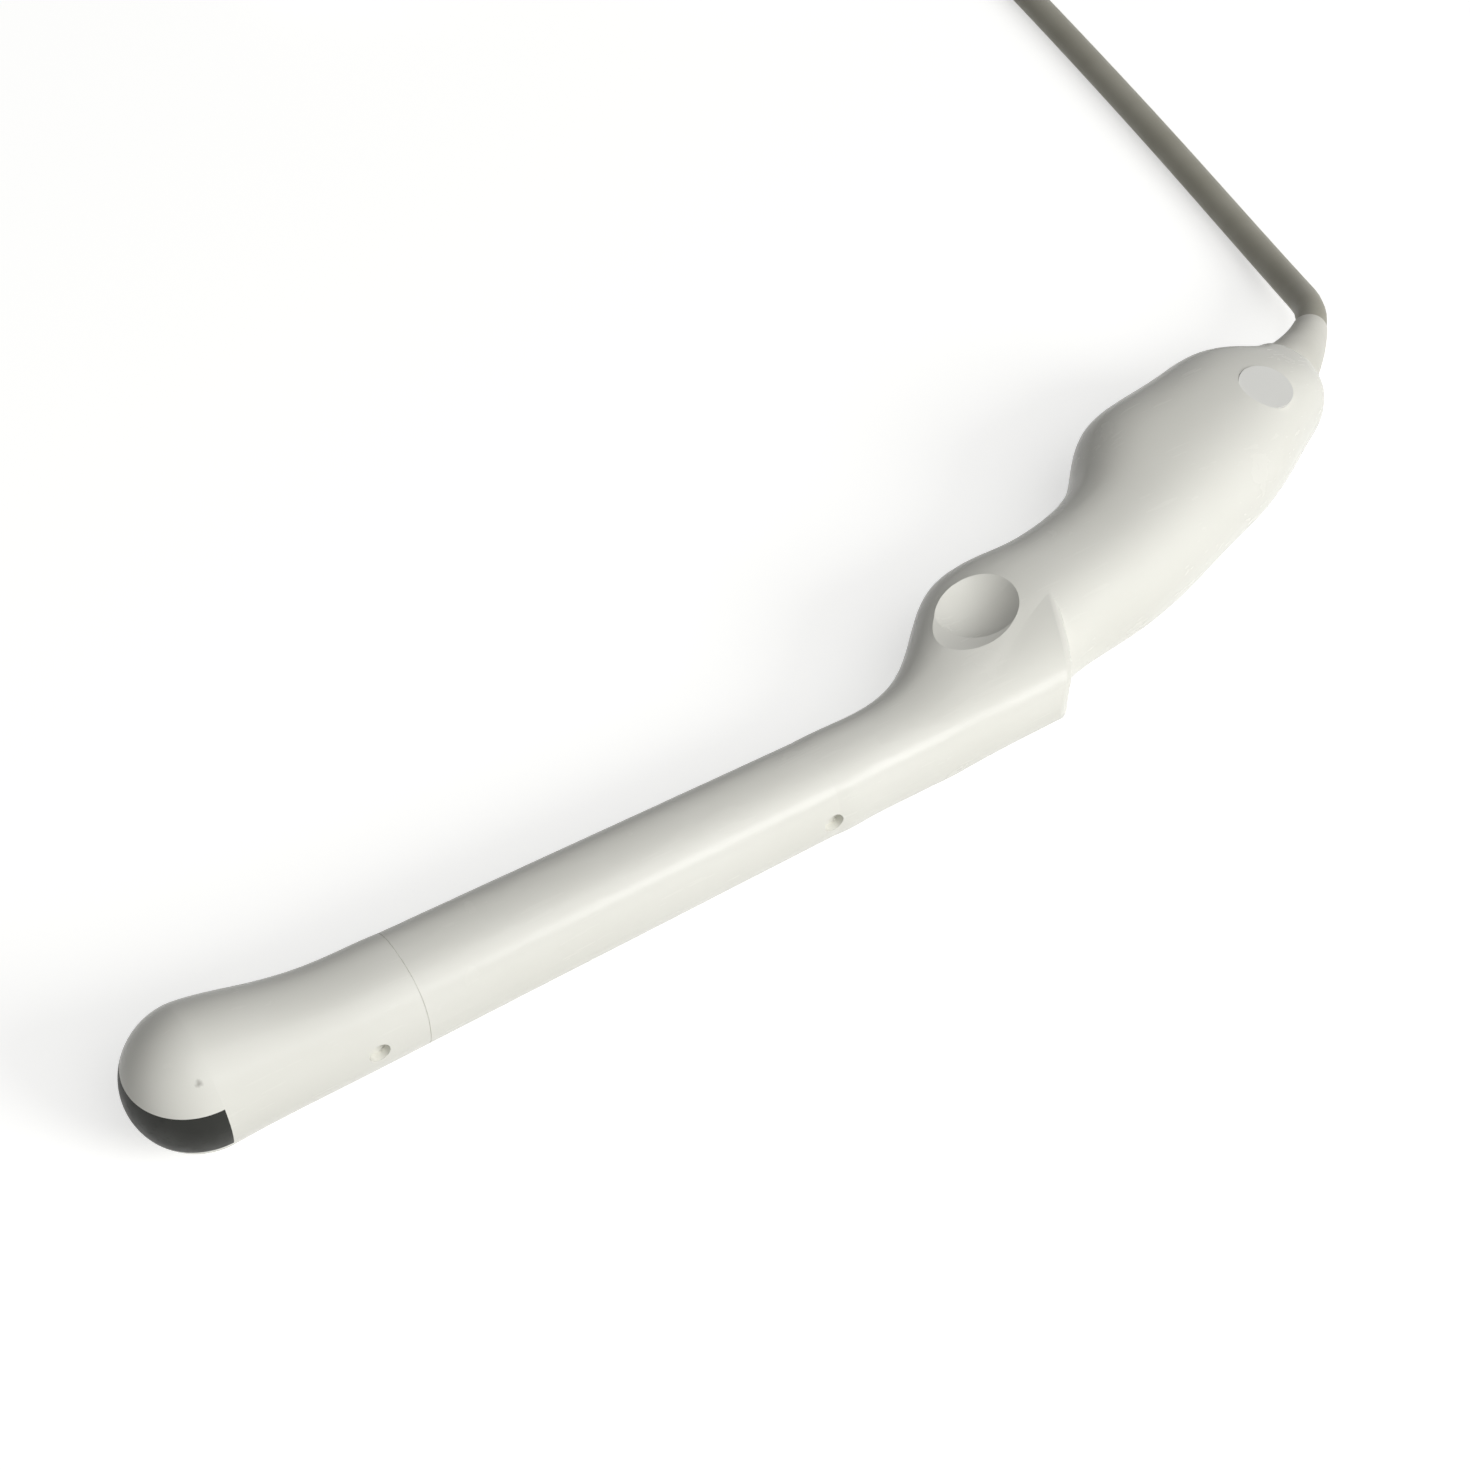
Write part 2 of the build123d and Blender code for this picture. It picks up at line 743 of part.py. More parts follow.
with BuildPart() as clamp_screw_far:
    add(clamp_screw_near.part)
    mirror(about=Plane(clamp_plane.origin, x_dir=outlet.z_dir, z_dir=outlet.x_dir), mode=Mode.REPLACE)
clamp_screw_far.part.label = "clamp_screw_far"
export_step(clamp_screw_far.part, "parts/clamp_screw_far.step")

# Free cable from the strain relief to the coil
cable_radius = cable_diameter / 2
coil_half_across = coil_turns_across * cable_radius
coil_outer_turn = coil_middle_diameter / 2 + coil_half_across - cable_radius
coil_height = coil_layers * cable_diameter
entry_radial = Vector(cos(radians(coil_entry_angle)), sin(radians(coil_entry_angle)), 0)
entry_heading = Vector(-entry_radial.Y, entry_radial.X, 0)
cable_far = table_point(rim_along + cable_far_run, rim_above + cable_far_lift, cable_radius)
cable_end = cable_far + entry_heading * cable_last_run
coil_entry = cable_end + entry_heading * coil_stub
coil_centre = coil_entry - entry_radial * coil_outer_turn - Vector(0, 0, cable_radius)

cable_route = [
    bundle_end,
    outlet.origin + outlet.z_dir * cable_knee,
    table_point(rim_along + cable_down_run, rim_above + cable_down_lift, cable_radius),
    table_point(rim_along + cable_lie_run, rim_above + cable_lie_lift, cable_radius),
    cable_far,
    cable_end,
]
cable_bends = []
for before, corner, after in zip(cable_route, cable_route[1:], cable_route[2:]):
    turn = (corner - before).get_angle(after - corner)
    run = min((corner - before).length, (after - corner).length)
    cable_bends.append(cable_bend_share * run / tan(radians(turn / 2)))
    print("cable bend", round(turn, 1), "degrees, radius", round(cable_bends[-1], 1))

with BuildPart() as cable:
    with BuildLine() as cable_line:
        FilletPolyline(*cable_route, radius=cable_bends)
    with BuildSketch(Plane(cable_line.line @ 0, z_dir=cable_line.line % 0)):
        Circle(cable_radius)
    sweep()
cable.part.label = "cable"
export_step(cable.part, "parts/cable.step")
cable_path = cable_line.wire()
cable_section = pi * cable_radius**2
print("cable length", round(cable_path.length, 1), "filled", round(cable.part.volume / cable_section, 1))

# Strain relief that tapers along the first bend of the cable
with BuildPart() as strain_relief:
    with BuildSketch(outlet.offset(-outlet_back)):
        Circle(relief_diameter / 2)
    extrude(amount=outlet_back + relief_seat)
    for reach, diameter in (
        (0, relief_diameter),
        (relief_middle, relief_middle_diameter),
        (relief_length, relief_tip_diameter),
    ):
        along_line = outlet_back + relief_seat + reach
        relief_spot = cable_path.position_at(along_line, position_mode=PositionMode.LENGTH)
        relief_way = cable_path.tangent_at(along_line, position_mode=PositionMode.LENGTH)
        with BuildSketch(Plane(relief_spot, z_dir=relief_way)):
            Circle(diameter / 2)
    loft()
    add(cable.part, mode=Mode.SUBTRACT)
strain_relief.part.label = "strain_relief"
export_step(strain_relief.part, "parts/strain_relief.step")

# Coil of the remaining cable with its ends, and the strap that ties it
coil_exit = coil_centre + Vector(0, coil_outer_turn, coil_height - cable_radius)
with BuildPart() as cable_coil:
    with BuildSketch(Plane.XZ.offset(-coil_centre.Y)) as coil_profile:
        with Locations((coil_centre.X + coil_middle_diameter / 2, coil_height / 2)):
            RectangleRounded(2 * coil_half_across, coil_height, coil_round)
    revolve(axis=Axis(coil_centre, (0, 0, 1)))
    with BuildSketch(Plane(coil_entry, z_dir=-entry_heading)):
        Circle(cable_radius)
    extrude(amount=coil_stub)
    with BuildSketch(Plane(coil_exit, z_dir=(-1, 0, 0))):
        Circle(cable_radius)
    extrude(amount=coil_exit_stub)
cable_coil.part.label = "cable_coil"
export_step(cable_coil.part, "parts/cable_coil.step")

tie_way = Vector(cos(radians(tie_angle)), sin(radians(tie_angle)), 0)
tie_spot = coil_centre + tie_way * coil_middle_diameter / 2 + Vector(0, 0, coil_height / 2)
with BuildPart() as coil_tie:
    with BuildSketch(Plane(tie_spot, x_dir=tie_way, z_dir=(-tie_way.Y, tie_way.X, 0))):
        RectangleRounded(
            2 * coil_half_across + 2 * tie_thickness + tie_room,
            coil_height + 2 * tie_thickness,
            cable_radius,
        )
    extrude(amount=tie_width / 2, both=True)
    add(cable_coil.part, mode=Mode.SUBTRACT)
    split(bisect_by=Plane((0, 0, 0)), keep=Keep.TOP)
coil_tie.part.label = "coil_tie"
export_step(coil_tie.part, "parts/coil_tie.step")

# Straight end of the cable from the coil to the plug
tail_start = coil_exit + Vector(-coil_exit_stub, 0, 0)
with BuildPart() as cable_tail:
    with BuildSketch(Plane(tail_start, z_dir=(-1, 0, 0))):
        Circle(cable_radius)
    extrude(amount=tail_length)
cable_tail.part.label = "cable_tail"
export_step(cable_tail.part, "parts/cable_tail.step")

# Plug, from its boot to its mouth
boot_face = Plane(tail_start + Vector(-tail_length, 0, 0), x_dir=(0, -1, 0), z_dir=(-1, 0, 0))
plug_face = boot_face.offset(plug_boot_length)
mouth_face = plug_face.offset(plug_length)

with BuildPart() as plug_boot:
    with BuildSketch(boot_face):
        Circle(plug_boot_tip_diameter / 2)
    with BuildSketch(plug_face):
        Circle(plug_boot_diameter / 2)
    loft()
    with BuildSketch(plug_face):
        Circle(plug_stem_diameter / 2)
    extrude(amount=plug_stem_length)
plug_boot.part.label = "plug_boot"
export_step(plug_boot.part, "parts/plug_boot.step")

with BuildPart() as plug_case:
    with BuildSketch(plug_face):
        RectangleRounded(plug_width, plug_height, plug_round)
    extrude(amount=plug_length)
    with BuildSketch(plug_face.offset(plug_wall)):
        RectangleRounded(plug_width - 2 * plug_wall, plug_height - 2 * plug_wall, plug_round - plug_wall)
    extrude(amount=plug_length - 2 * plug_wall, mode=Mode.SUBTRACT)
    with BuildSketch(plug_face):
        Circle(plug_stem_diameter / 2)
    extrude(amount=plug_wall, mode=Mode.SUBTRACT)
    with BuildSketch(mouth_face):
        Rectangle(shroud_width, shroud_height)
    extrude(amount=-plug_wall, mode=Mode.SUBTRACT)
    for side in (-1, 1):
        groove_face = Plane(
            plug_face.origin + plug_face.z_dir * plug_groove_back + Vector(0, 0, side * plug_height / 2),
            x_dir=(1, 0, 0),
            z_dir=(0, 0, side),
        )
        with BuildSketch(groove_face):
            with GridLocations(plug_groove_pitch, 0, plug_groove_count, 1):
                SlotOverall(plug_groove_length, plug_groove_width, rotation=90)
        extrude(amount=-plug_groove_depth, mode=Mode.SUBTRACT)

with BuildPart() as plug_cover_upper:
    add(plug_case.part)
    split(bisect_by=Plane((0, 0, tail_start.Z)), keep=Keep.TOP)
plug_cover_upper.part.label = "plug_cover_upper"
export_step(plug_cover_upper.part, "parts/plug_cover_upper.step")

with BuildPart() as plug_cover_lower:
    add(plug_case.part)
    split(bisect_by=Plane((0, 0, tail_start.Z)), keep=Keep.BOTTOM)
plug_cover_lower.part.label = "plug_cover_lower"
export_step(plug_cover_lower.part, "parts/plug_cover_lower.step")

shroud_back = mouth_face.offset(-plug_wall - flange_thickness)
with BuildPart() as plug_shroud:
    with BuildSketch(shroud_back):
        RectangleRounded(flange_width, flange_height, plug_round - plug_wall)
    extrude(amount=flange_thickness)
    with BuildSketch(shroud_back):
        Rectangle(shroud_width, shroud_height)
    extrude(amount=flange_thickness + plug_wall + shroud_length)
    with BuildSketch(shroud_back):
        Rectangle(shroud_width - 2 * shroud_wall, shroud_height - 2 * shroud_wall)
    extrude(amount=flange_thickness + plug_wall + shroud_length, mode=Mode.SUBTRACT)
plug_shroud.part.label = "plug_shroud"
export_step(plug_shroud.part, "parts/plug_shroud.step")

insert_length = flange_thickness + plug_wall + shroud_length - insert_depth
with BuildPart() as plug_insert:
    with BuildSketch(shroud_back):
        Rectangle(shroud_width - 2 * shroud_wall, shroud_height - 2 * shroud_wall)
    extrude(amount=insert_length)
    for row in (-contact_row_gap / 2, contact_row_gap / 2):
        with BuildSketch(shroud_back):
            with Locations((0, row)):
                with GridLocations(contact_pitch, 0, contact_count, 1):
                    Rectangle(contact_thickness, contact_thickness)
        extrude(amount=insert_length, mode=Mode.SUBTRACT)
plug_insert.part.label = "plug_insert"
export_step(plug_insert.part, "parts/plug_insert.step")

with BuildPart() as contact_row_upper:
    with BuildSketch(shroud_back.offset(-contact_tail)):
        with Locations((0, contact_row_gap / 2)):
            with GridLocations(contact_pitch, 0, contact_count, 1):
                Rectangle(contact_thickness, contact_thickness)
    extrude(amount=contact_tail + insert_length + contact_length)
    with BuildSketch(shroud_back.offset(-contact_tail)):
        with Locations((0, contact_row_gap / 2)):
            Rectangle(contact_pitch * contact_count, contact_thickness)
    extrude(amount=contact_thickness)
contact_row_upper.part.label = "contact_row_upper"
export_step(contact_row_upper.part, "parts/contact_row_upper.step")

with BuildPart() as contact_row_lower:
    add(contact_row_upper.part)
    mirror(about=Plane((0, 0, tail_start.Z)), mode=Mode.REPLACE)
contact_row_lower.part.label = "contact_row_lower"
export_step(contact_row_lower.part, "parts/contact_row_lower.step")

plug_board_height = contact_row_gap - contact_thickness
with BuildPart() as plug_board:
    with BuildSketch(shroud_back):
        Rectangle(plug_width - 2 * plug_wall - 2 * plug_board_gap, plug_board_height)
    extrude(amount=-plug_board_length)
plug_board.part.label = "plug_board"
export_step(plug_board.part, "parts/plug_board.step")
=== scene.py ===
import math

import bpy
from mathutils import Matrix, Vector


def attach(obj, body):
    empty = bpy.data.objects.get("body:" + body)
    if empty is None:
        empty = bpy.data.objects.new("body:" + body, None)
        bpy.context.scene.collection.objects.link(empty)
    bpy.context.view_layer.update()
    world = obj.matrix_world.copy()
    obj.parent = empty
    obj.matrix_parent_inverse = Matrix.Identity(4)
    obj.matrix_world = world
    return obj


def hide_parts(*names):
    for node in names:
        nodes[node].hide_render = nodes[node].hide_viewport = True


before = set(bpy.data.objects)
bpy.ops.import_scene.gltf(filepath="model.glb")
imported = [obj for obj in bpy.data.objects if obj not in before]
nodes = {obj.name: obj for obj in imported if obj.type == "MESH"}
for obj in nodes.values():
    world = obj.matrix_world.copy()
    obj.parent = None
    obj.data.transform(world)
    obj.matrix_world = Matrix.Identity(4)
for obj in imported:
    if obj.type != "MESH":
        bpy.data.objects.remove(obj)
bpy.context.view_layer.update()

scene = bpy.context.scene
bpy.ops.object.select_all(action="DESELECT")
scene.view_settings.view_transform = "Standard"

# camera place and look worked out from the photograph's perspective
shot = {
    "place": (-0.19424, -0.26321, 0.34994),
    "look": (0.371836, 0.567537, -0.734606),
    "focalPixels": 2400.0,
    "framePixels": 1470.0,
    "sensor": 36.0,
    "clip": (0.01, 20.0),
}


def makeCamera(s):
    data = bpy.data.cameras.new("studioCamera")
    data.sensor_width = s["sensor"]
    data.lens = s["sensor"] * s["focalPixels"] / s["framePixels"]
    data.clip_start, data.clip_end = s["clip"]
    camera = bpy.data.objects.new("studioCamera", data)
    scene.collection.objects.link(camera)
    camera.location = s["place"]
    camera.rotation_mode = "QUATERNION"
    camera.rotation_quaternion = Vector(s["look"]).to_track_quat("-Z", "Y")
    scene.camera = camera


makeCamera(shot)
print("camera set")


# small helpers for the node trees
def newPaint(name):
    paint = bpy.data.materials.new(name)
    paint.use_nodes = True
    tree = paint.node_tree
    shader = tree.nodes["Principled BSDF"]
    place = tree.nodes.new("ShaderNodeTexCoord").outputs["Object"]
    return paint, tree, shader, place


def grainOf(tree, place, scale, detail=3.0, stretch=(1, 1, 1), turn=(0, 0, 0)):
    mapping = tree.nodes.new("ShaderNodeMapping")
    mapping.inputs["Scale"].default_value = stretch
    mapping.inputs["Rotation"].default_value = [math.radians(a) for a in turn]
    tree.links.new(place, mapping.inputs["Vector"])
    noise = tree.nodes.new("ShaderNodeTexNoise")
    noise.inputs["Scale"].default_value = scale
    noise.inputs["Detail"].default_value = detail
    tree.links.new(mapping.outputs[0], noise.inputs["Vector"])
    return noise.outputs["Fac"]


def bandsOf(tree, place, scale, direction, distortion=0.0):
    wave = tree.nodes.new("ShaderNodeTexWave")
    wave.bands_direction = direction
    wave.inputs["Scale"].default_value = scale
    wave.inputs["Distortion"].default_value = distortion
    tree.links.new(place, wave.inputs["Vector"])
    return wave.outputs["Fac"]


def rangeOf(tree, source, fromLow, fromHigh, low, high):
    span = tree.nodes.new("ShaderNodeMapRange")
    span.inputs["From Min"].default_value = fromLow
    span.inputs["From Max"].default_value = fromHigh
    span.inputs["To Min"].default_value = low
    span.inputs["To Max"].default_value = high
    tree.links.new(source, span.inputs["Value"])
    return span.outputs["Result"]


def blendOf(tree, share, first, second):
    # first and second are colours or the outputs of other nodes
    mix = tree.nodes.new("ShaderNodeMix")
    mix.data_type = "RGBA"
    tree.links.new(share, mix.inputs[0])
    # sockets 6 and 7 are the two colours, output 2 their blend
    for side, value in ((mix.inputs[6], first), (mix.inputs[7], second)):
        if isinstance(value, tuple):
            side.default_value = (*value, 1)
        else:
            tree.links.new(value, side)
    return mix.outputs[2]


def mathOf(tree, first, second, how="ADD"):
    node = tree.nodes.new("ShaderNodeMath")
    node.operation = how
    tree.links.new(first, node.inputs[0])
    tree.links.new(second, node.inputs[1])
    return node.outputs[0]


def bumpOf(tree, height, depth, strength, under=None):
    node = tree.nodes.new("ShaderNodeBump")
    node.inputs["Strength"].default_value = strength
    node.inputs["Distance"].default_value = depth
    tree.links.new(height, node.inputs["Height"])
    if under is not None:
        tree.links.new(under, node.inputs["Normal"])
    return node.outputs["Normal"]


def dress(paint, *names):
    for name in names:
        nodes[name].data.materials.clear()
        nodes[name].data.materials.append(paint)


# a key lamp from the front right draws the long highlight, a broad one stands above the front
studio = {
    "aim": (0, 0, 0),
    "keyWay": (0.37, -0.80, 0.47),
    "keyDistance": 1.3,
    "keySize": 0.55,
    "keyPower": 8.7,
    "topSize": 1.4,
    "topPower": 12.2,
    "topPlace": (0.0, -0.78, 1.2),
    "worldFill": 0.01,
    "fillColour": (1.0, 0.95, 0.86, 1.0),
    "floorSize": 12.0,
    "floorDrop": 0.0004,
    "floorColour": (0.70, 0.70, 0.68, 1.0),
    "floorGlow": 0.61,
    "floorBounce": 0.2,  # share of the glow that reaches the object
    "floorCentre": (0.1, -0.6, 0.0),
    "floorFade": (0.7, 2.0),
}


def areaLamp(name, place, target, size, power):
    data = bpy.data.lights.new(name, "AREA")
    data.shape = "DISK"
    data.size = size
    data.energy = power
    lamp = bpy.data.objects.new(name, data)
    scene.collection.objects.link(lamp)
    lamp.location = place
    lamp.rotation_mode = "QUATERNION"
    lamp.rotation_quaternion = (Vector(target) - Vector(place)).to_track_quat("-Z", "Y")


def seenRays(tree):
    # camera, glossy and transmission rays see the plain white
    path = tree.nodes.new("ShaderNodeLightPath").outputs
    seen = mathOf(tree, path["Is Camera Ray"], path["Is Glossy Ray"], "MAXIMUM")
    return mathOf(tree, seen, path["Is Transmission Ray"], "MAXIMUM")


def makeWorld(s):
    world = bpy.data.worlds.new("studioWorld")
    scene.world = world
    world.use_nodes = True
    tree = world.node_tree
    tree.nodes.clear()
    out = tree.nodes.new("ShaderNodeOutputWorld")
    fill = tree.nodes.new("ShaderNodeBackground")
    fill.inputs["Color"].default_value = s["fillColour"]
    fill.inputs["Strength"].default_value = s["worldFill"]
    plain = tree.nodes.new("ShaderNodeBackground")
    plain.inputs["Color"].default_value = (1, 1, 1, 1)
    plain.inputs["Strength"].default_value = 1.0  # plain white
    mix = tree.nodes.new("ShaderNodeMixShader")
    tree.links.new(seenRays(tree), mix.inputs[0])
    tree.links.new(fill.outputs[0], mix.inputs[1])
    tree.links.new(plain.outputs[0], mix.inputs[2])
    tree.links.new(mix.outputs[0], out.inputs["Surface"])


def makeFloor(s):
    bpy.ops.mesh.primitive_plane_add(size=s["floorSize"], location=(0, 0, -s["floorDrop"]))
    floor = bpy.context.object
    floor.name = "paleFloor"
    paint = bpy.data.materials.new("paleFloor")
    paint.use_nodes = True
    tree = paint.node_tree
    tree.nodes.clear()
    out = tree.nodes.new("ShaderNodeOutputMaterial")
    matt = tree.nodes.new("ShaderNodeBsdfDiffuse")
    matt.inputs["Color"].default_value = s["floorColour"]
    glow = tree.nodes.new("ShaderNodeEmission")
    away = tree.nodes.new("ShaderNodeVectorMath")
    away.operation = "DISTANCE"
    away.inputs[1].default_value = s["floorCentre"]
    tree.links.new(tree.nodes.new("ShaderNodeTexCoord").outputs["Object"], away.inputs[0])
    # the lamps' light falls off with distance, so the far floor needs more white of its own
    white = rangeOf(tree, away.outputs["Value"], *s["floorFade"], s["floorGlow"], 1.0)
    seen = rangeOf(tree, seenRays(tree), 0.0, 1.0, s["floorBounce"], 1.0)
    tree.links.new(mathOf(tree, seen, white, "MULTIPLY"), glow.inputs["Strength"])
    both = tree.nodes.new("ShaderNodeAddShader")
    tree.links.new(matt.outputs[0], both.inputs[0])
    tree.links.new(glow.outputs[0], both.inputs[1])
    tree.links.new(both.outputs[0], out.inputs["Surface"])
    floor.data.materials.append(paint)
    floor.select_set(False)


keyPlace = Vector(studio["keyWay"]).normalized() * studio["keyDistance"]
areaLamp("keyLamp", keyPlace, studio["aim"], studio["keySize"], studio["keyPower"])
areaLamp("topLamp", studio["topPlace"], studio["aim"], studio["topSize"], studio["topPower"])
makeWorld(studio)
makeFloor(studio)
print("studio set")

# what all moulded finishes share; a spread is the part of the noise that is used
moulded = {
    "cloudDetail": 4.0,
    "cloudSpread": (0.35, 0.65),
    "markDetail": 2.0,
    "markStretch": (0.06, 1.0, 1.0),
    "markTurn": (20, 10, 24),
    "markSpread": (0.58, 0.72),
    "markDepth": 0.3,
    "markStrength": 0.5,
    "glossScale": 3.1,
    "glossDetail": 5.0,
    "glossSpread": (0.3, 0.7),
    "skinDetail": 2.0,
}


def mouldedFinish(f):
    # moulded surface: clouded colour, uneven gloss, fine skin and long faint handling marks
    m = moulded
    paint, tree, shader, place = newPaint(f["name"])
    cloud = grainOf(tree, place, f["cloud"], m["cloudDetail"])
    patches = rangeOf(tree, cloud, *m["cloudSpread"], 0.0, 1.0)
    colour = blendOf(tree, patches, f["colour"], f["shade"])
    marks = grainOf(
        tree, place, f["marks"], m["markDetail"], m["markStretch"], m["markTurn"]
    )
    worn = rangeOf(tree, marks, *m["markSpread"], 0.0, f["wear"])
    polish = grainOf(tree, place, m["glossScale"] * f["cloud"], m["glossDetail"])
    gloss = rangeOf(tree, polish, *m["glossSpread"], *f["roughness"])
    rough = mathOf(tree, gloss, worn)
    pores = grainOf(tree, place, f["skin"], m["skinDetail"])
    skin = bumpOf(tree, pores, f["skinDepth"], f["skinStrength"])
    markDepth = m["markDepth"] * f["skinDepth"]
    scratched = bumpOf(tree, marks, markDepth, m["markStrength"] * f["skinStrength"], skin)
    tree.links.new(colour, shader.inputs["Base Color"])
    tree.links.new(rough, shader.inputs["Roughness"])
    tree.links.new(scratched, shader.inputs["Normal"])
    shader.inputs["IOR"].default_value = f["ior"]
    return paint, tree, shader, place, colour


# glossy white moulding of nose and shells, with one small scuff on the head
housing = {
    "name": "housingWhite",
    "colour": (0.795, 0.79, 0.735),
    "shade": (0.77, 0.765, 0.705),
    "cloud": 26.0,
    "marks": 900.0,
    "roughness": (0.22, 0.28),
    "wear": 0.03,
    "skin": 1500.0,
    "skinDepth": 0.00006,
    "skinStrength": 0.05,
    "ior": 1.26,
    "scuffPlace": (-0.14471, -0.02823, 0.02417),
    "scuffSize": (0.0002, 0.0009),
    "scuffRagged": 0.0012,
    "scuffGrain": 900.0,
    "scuffColour": (0.46, 0.45, 0.41),
}


def makeHousing(f):
    paint, tree, shader, place, colour = mouldedFinish(f)
    noise = tree.nodes.new("ShaderNodeTexNoise")
    noise.inputs["Scale"].default_value = f["scuffGrain"]
    tree.links.new(place, noise.inputs["Vector"])
    ragged = tree.nodes.new("ShaderNodeVectorMath")
    ragged.operation = "MULTIPLY_ADD"
    ragged.inputs[1].default_value = (f["scuffRagged"],) * 3
    tree.links.new(noise.outputs["Color"], ragged.inputs[0])
    tree.links.new(place, ragged.inputs[2])
    away = tree.nodes.new("ShaderNodeVectorMath")
    away.operation = "DISTANCE"
    away.inputs[1].default_value = [v + f["scuffRagged"] / 2 for v in f["scuffPlace"]]
    tree.links.new(ragged.outputs[0], away.inputs[0])
    scuff = rangeOf(tree, away.outputs["Value"], f["scuffSize"][1], f["scuffSize"][0], 0.0, 1.0)
    tree.links.new(blendOf(tree, scuff, colour, f["scuffColour"]), shader.inputs["Base Color"])
    return paint


dress(makeHousing(housing), "nose_housing", "upper_shell", "lower_shell")

# silicone lens, matt charcoal with slightly paler patches
lens = {
    "name": "lensCharcoal",
    "colour": (0.023, 0.024, 0.021),
    "shade": (0.034, 0.035, 0.031),
    "cloud": 90.0,
    "marks": 1200.0,
    "roughness": (0.42, 0.56),
    "wear": 0.10,
    "skin": 2600.0,
    "skinDepth": 0.00005,
    "skinStrength": 0.12,
    "ior": 1.3,
}
dress(mouldedFinish(lens)[0], "acoustic_lens")

# bare round plate on the grip
badge = {
    "name": "badgeWhite",
    "colour": (0.765, 0.765, 0.735),
    "shade": (0.745, 0.745, 0.71),
    "cloud": 60.0,
    "marks": 1400.0,
    "roughness": (0.34, 0.44),
    "wear": 0.08,
    "skin": 2400.0,
    "skinDepth": 0.00004,
    "skinStrength": 0.08,
    "ior": 1.3,
}
dress(mouldedFinish(badge)[0], "badge_plate")

# soft vinyl of the strain relief and the plug boot
relief = {
    "name": "reliefGrey",
    "colour": (0.70, 0.69, 0.63),
    "shade": (0.63, 0.62, 0.56),
    "cloud": 70.0,
    "marks": 700.0,
    "roughness": (0.44, 0.58),
    "wear": 0.10,
    "skin": 1900.0,
    "skinDepth": 0.00008,
    "skinStrength": 0.16,
    "ior": 1.5,
}
dress(mouldedFinish(relief)[0], "strain_relief", "plug_boot")

# spark-textured covers of the plug
plugCase = {
    "name": "plugGrey",
    "colour": (0.60, 0.60, 0.57),
    "shade": (0.55, 0.55, 0.52),
    "cloud": 40.0,
    "marks": 600.0,
    "roughness": (0.46, 0.60),
    "wear": 0.08,
    "skin": 2200.0,
    "skinDepth": 0.00012,
    "skinStrength": 0.35,
    "ior": 1.5,
}
dress(mouldedFinish(plugCase)[0], "plug_cover_upper", "plug_cover_lower")

# black glass-filled mouldings: plug insert and board sockets
socket = {
    "name": "socketBlack",
    "colour": (0.022, 0.022, 0.023),
    "shade": (0.034, 0.034, 0.034),
    "cloud": 160.0,
    "marks": 900.0,
    "roughness": (0.40, 0.58),
    "wear": 0.08,
    "skin": 3000.0,
    "skinDepth": 0.00006,
    "skinStrength": 0.25,
    "ior": 1.53,
}
dress(mouldedFinish(socket)[0], "plug_insert", "socket_upper", "socket_lower")

# resin of the array carrier and the cable clamps
carrier = {
    "name": "carrierResin",
    "colour": (0.30, 0.29, 0.27),
    "shade": (0.25, 0.24, 0.22),
    "cloud": 80.0,
    "marks": 700.0,
    "roughness": (0.45, 0.62),
    "wear": 0.06,
    "skin": 1700.0,
    "skinDepth": 0.00008,
    "skinStrength": 0.2,
    "ior": 1.5,
}
dress(mouldedFinish(carrier)[0], "array_carrier", "clamp_upper", "clamp_lower")

# filled epoxies of the array stack
matching = {
    "name": "matchingEpoxy",
    "colour": (0.46, 0.40, 0.30),
    "shade": (0.40, 0.34, 0.25),
    "cloud": 220.0,
    "marks": 1500.0,
    "roughness": (0.35, 0.5),
    "wear": 0.05,
    "skin": 4200.0,
    "skinDepth": 0.00003,
    "skinStrength": 0.15,
    "ior": 1.55,
}
dress(mouldedFinish(matching)[0], "matching_layer")
backing = {
    "name": "backingCompound",
    "colour": (0.13, 0.13, 0.14),
    "shade": (0.20, 0.20, 0.21),
    "cloud": 900.0,
    "marks": 1500.0,
    "roughness": (0.5, 0.72),
    "wear": 0.05,
    "skin": 3600.0,
    "skinDepth": 0.00008,
    "skinStrength": 0.4,
    "ior": 1.55,
}
dress(mouldedFinish(backing)[0], "backing_block")
print("moulded finishes set")


lined = {
    "cloudDetail": 3.0,
    "cloudSpread": (0.35, 0.65),
    "glossSpread": (0.3, 0.7),
    "bump": 0.5,
}


def linedFinish(f):
    # a surface with fine even lines: diced ceramic, etched tracks, wires laid side by side
    paint, tree, shader, place = newPaint(f["name"])
    lines = bandsOf(tree, place, f["pitch"], f["across"], f["stray"])
    edge = rangeOf(tree, lines, *f["edge"], 0.0, 1.0)
    cloud = grainOf(tree, place, f["cloud"], lined["cloudDetail"])
    patches = rangeOf(tree, cloud, *lined["cloudSpread"], 0.0, 1.0)
    body = blendOf(tree, patches, f["colour"], f["shade"])
    gloss = rangeOf(tree, cloud, *lined["glossSpread"], *f["roughness"])
    tree.links.new(blendOf(tree, edge, f["lineColour"], body), shader.inputs["Base Color"])
    tree.links.new(gloss, shader.inputs["Roughness"])
    tree.links.new(bumpOf(tree, edge, f["depth"], lined["bump"]), shader.inputs["Normal"])
    return paint


